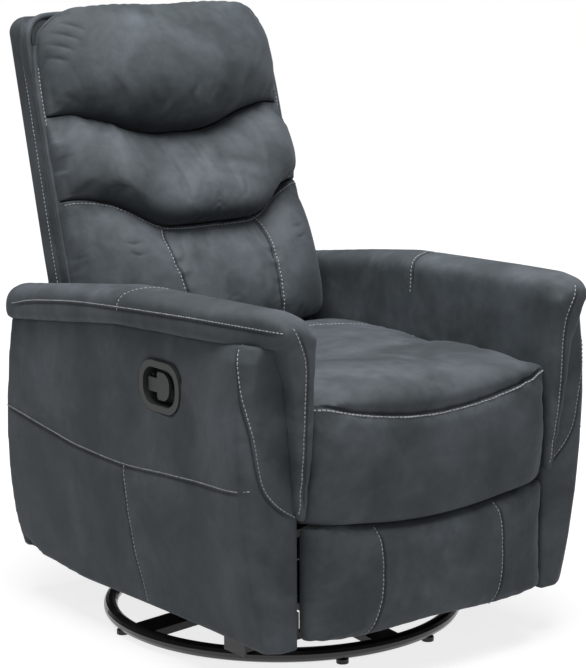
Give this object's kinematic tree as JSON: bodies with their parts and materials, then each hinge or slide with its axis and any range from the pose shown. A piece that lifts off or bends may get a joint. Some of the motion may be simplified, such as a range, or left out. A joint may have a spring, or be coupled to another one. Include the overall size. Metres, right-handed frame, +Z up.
{
  "type": "swivel glider recliner",
  "caption": "Upholstered armchair on a round swivel base that glides, reclines and raises a folding footrest.",
  "frame": {"origin": "on the floor under the swivel axis, at the centre of the round base", "axes": "+Z up, the chair faces -Y, +X is towards the sitter's left arm"},
  "size_m": [0.73, 0.9357, 1.1067],
  "materials": {
    "ring_paint": "satin black enamel",
    "glide_plastic": "moulded black plastic",
    "swivel_steel": "black powder coat",
    "mechanism_steel": "dark grey powder coat",
    "pin_steel": "zinc-plated",
    "frame_wood": "bare plywood and pine",
    "cover": "slate blue-grey sueded upholstery with light grey topstitching",
    "gusset_cloth": "dark lining cloth",
    "webbing": "woven elastic webbing",
    "handle_plastic": "moulded black plastic"
  },
  "bodies": {
    "base": {"base_ring": "ring_paint", "base_glides": "glide_plastic", "base_cross_bar_long": "ring_paint", "base_cross_bar_short": "ring_paint", "swivel_lower_plate": "swivel_steel", "swivel_bearing_ring": "glide_plastic", "swivel_pivot_bolt": "pin_steel"},
    "turntable": {"swivel_upper_plate": "swivel_steel", "glider_stand_left": "swivel_steel", "glider_stand_right": "swivel_steel", "glider_stand_ties": "swivel_steel", "glider_upper_pins": "pin_steel"},
    "front_glide_links": {"glide_front_links": "swivel_steel"},
    "rear_glide_links": {"glide_rear_links": "swivel_steel"},
    "chassis": {"hanger_rail_left": "swivel_steel", "hanger_rail_right": "swivel_steel", "chassis_tube_front": "swivel_steel", "chassis_tube_rear": "swivel_steel", "arm_mount_plates": "swivel_steel", "recliner_plate_left": "mechanism_steel", "recliner_plate_right": "mechanism_steel", "arm_frame_left": "frame_wood", "arm_frame_right": "frame_wood", "arm_panel_left": "cover", "arm_panel_right": "cover", "arm_pad_left": "cover", "arm_pad_right": "cover", "rear_skirt_panel": "cover", "handle_bezel": "handle_plastic"},
    "release_paddle": {"release_paddle": "handle_plastic"},
    "front_seat_links": {"seat_front_links": "mechanism_steel"},
    "rear_seat_links": {"seat_rear_links": "mechanism_steel"},
    "seat": {"seat_side_plate_left": "mechanism_steel", "seat_side_plate_right": "mechanism_steel", "seat_pins": "pin_steel", "seat_front_rail": "frame_wood", "seat_rear_rail": "frame_wood", "seat_webbing": "webbing", "seat_cushion": "cover"},
    "backrest": {"back_shell": "cover", "back_upright_left": "frame_wood", "back_upright_right": "frame_wood", "back_top_rail": "frame_wood", "back_bottom_rail": "frame_wood", "back_brackets": "mechanism_steel", "back_deck": "gusset_cloth", "head_pillow": "cover", "lumbar_pillow": "cover", "lower_back_pad": "cover"},
    "rear_leg_links": {"legrest_rear_link_left": "mechanism_steel", "legrest_rear_link_right": "mechanism_steel", "legrest_torque_bar": "mechanism_steel"},
    "drive_leg_links": {"legrest_drive_links": "mechanism_steel"},
    "front_leg_links": {"legrest_front_link_left": "mechanism_steel", "legrest_front_link_right": "mechanism_steel"},
    "footrest": {"footrest_board": "frame_wood", "footrest_brackets": "mechanism_steel", "footrest_pad": "cover"},
    "brace_leg_links": {"legrest_brace_links": "mechanism_steel"}
  },
  "joints": [
    {"name": "swivel", "type": "hinge", "parent": "base", "child": "turntable", "pos_m": [0, 0, 0.05], "axis": [0, 0, 1], "continuous": true},
    {"name": "glide", "type": "hinge", "parent": "turntable", "child": "front_glide_links", "pos_m": [0, -0.14, 0.19], "axis": [-1, 0, 0], "range_deg": [-25, 25]},
    {"name": "rear_glide", "type": "hinge", "parent": "turntable", "child": "rear_glide_links", "pos_m": [0, 0.14, 0.19], "axis": [-1, 0, 0], "range_deg": [-25, 25]},
    {"name": "chassis_level", "type": "hinge", "parent": "front_glide_links", "child": "chassis", "pos_m": [0, -0.14, 0.08], "axis": [-1, 0, 0], "range_deg": [-25, 25]},
    {"name": "recline", "type": "hinge", "parent": "seat", "child": "backrest", "pos_m": [0, 0.215, 0.35], "axis": [-1, 0, 0], "range_deg": [0, 36]},
    {"name": "front_seat_link", "type": "hinge", "parent": "chassis", "child": "front_seat_links", "pos_m": [0, -0.12, 0.15], "axis": [1, 0, 0], "range_deg": [0, 32.01]},
    {"name": "rear_seat_link", "type": "hinge", "parent": "chassis", "child": "rear_seat_links", "pos_m": [0, 0.11, 0.15], "axis": [1, 0, 0], "range_deg": [0, 32.01]},
    {"name": "seat_level", "type": "hinge", "parent": "front_seat_links", "child": "seat", "pos_m": [0, -0.08968, 0.25574], "axis": [1, 0, 0], "range_deg": [-32.01, 0]},
    {"name": "legrest_open", "type": "hinge", "parent": "seat", "child": "rear_leg_links", "pos_m": [0, -0.262, 0.268], "axis": [-1, 0, 0], "range_deg": [0, 118.92]},
    {"name": "legrest_drive", "type": "hinge", "parent": "seat", "child": "drive_leg_links", "pos_m": [0, -0.2276, 0.24391], "axis": [-1, 0, 0], "range_deg": [0, 118.93]},
    {"name": "legrest_elbow", "type": "hinge", "parent": "rear_leg_links", "child": "front_leg_links", "pos_m": [0, -0.1654, 0.12434], "axis": [-1, 0, 0], "range_deg": [-118.93, 0]},
    {"name": "footrest_turn", "type": "hinge", "parent": "front_leg_links", "child": "footrest", "pos_m": [0, -0.362, 0.262], "axis": [-1, 0, 0], "range_deg": [0, 88.01]},
    {"name": "legrest_brace", "type": "hinge", "parent": "footrest", "child": "brace_leg_links", "pos_m": [0, -0.35327, 0.23592], "axis": [-1, 0, 0], "range_deg": [-88.01, 0]},
    {"name": "handle_pull", "type": "hinge", "parent": "chassis", "child": "release_paddle", "pos_m": [-0.343, -0.1, 0.495], "axis": [0, 0, -1], "range_deg": [0, 25], "stiffness_Nm_per_rad": 0.4}
  ],
  "couplings": [
    {"joint": "rear_glide", "follows": "glide", "ratio": 1},
    {"joint": "chassis_level", "follows": "glide", "ratio": -1},
    {"joint": "front_seat_link", "follows": "recline", "ratio": 0.88889},
    {"joint": "rear_seat_link", "follows": "recline", "ratio": 0.88889},
    {"joint": "seat_level", "follows": "recline", "ratio": -0.88889},
    {"joint": "legrest_drive", "follows": "legrest_open", "ratio": 1},
    {"joint": "legrest_elbow", "follows": "legrest_open", "ratio": -1},
    {"joint": "footrest_turn", "follows": "legrest_open", "ratio": 0.74001},
    {"joint": "legrest_brace", "follows": "legrest_open", "ratio": -0.74001}
  ]
}
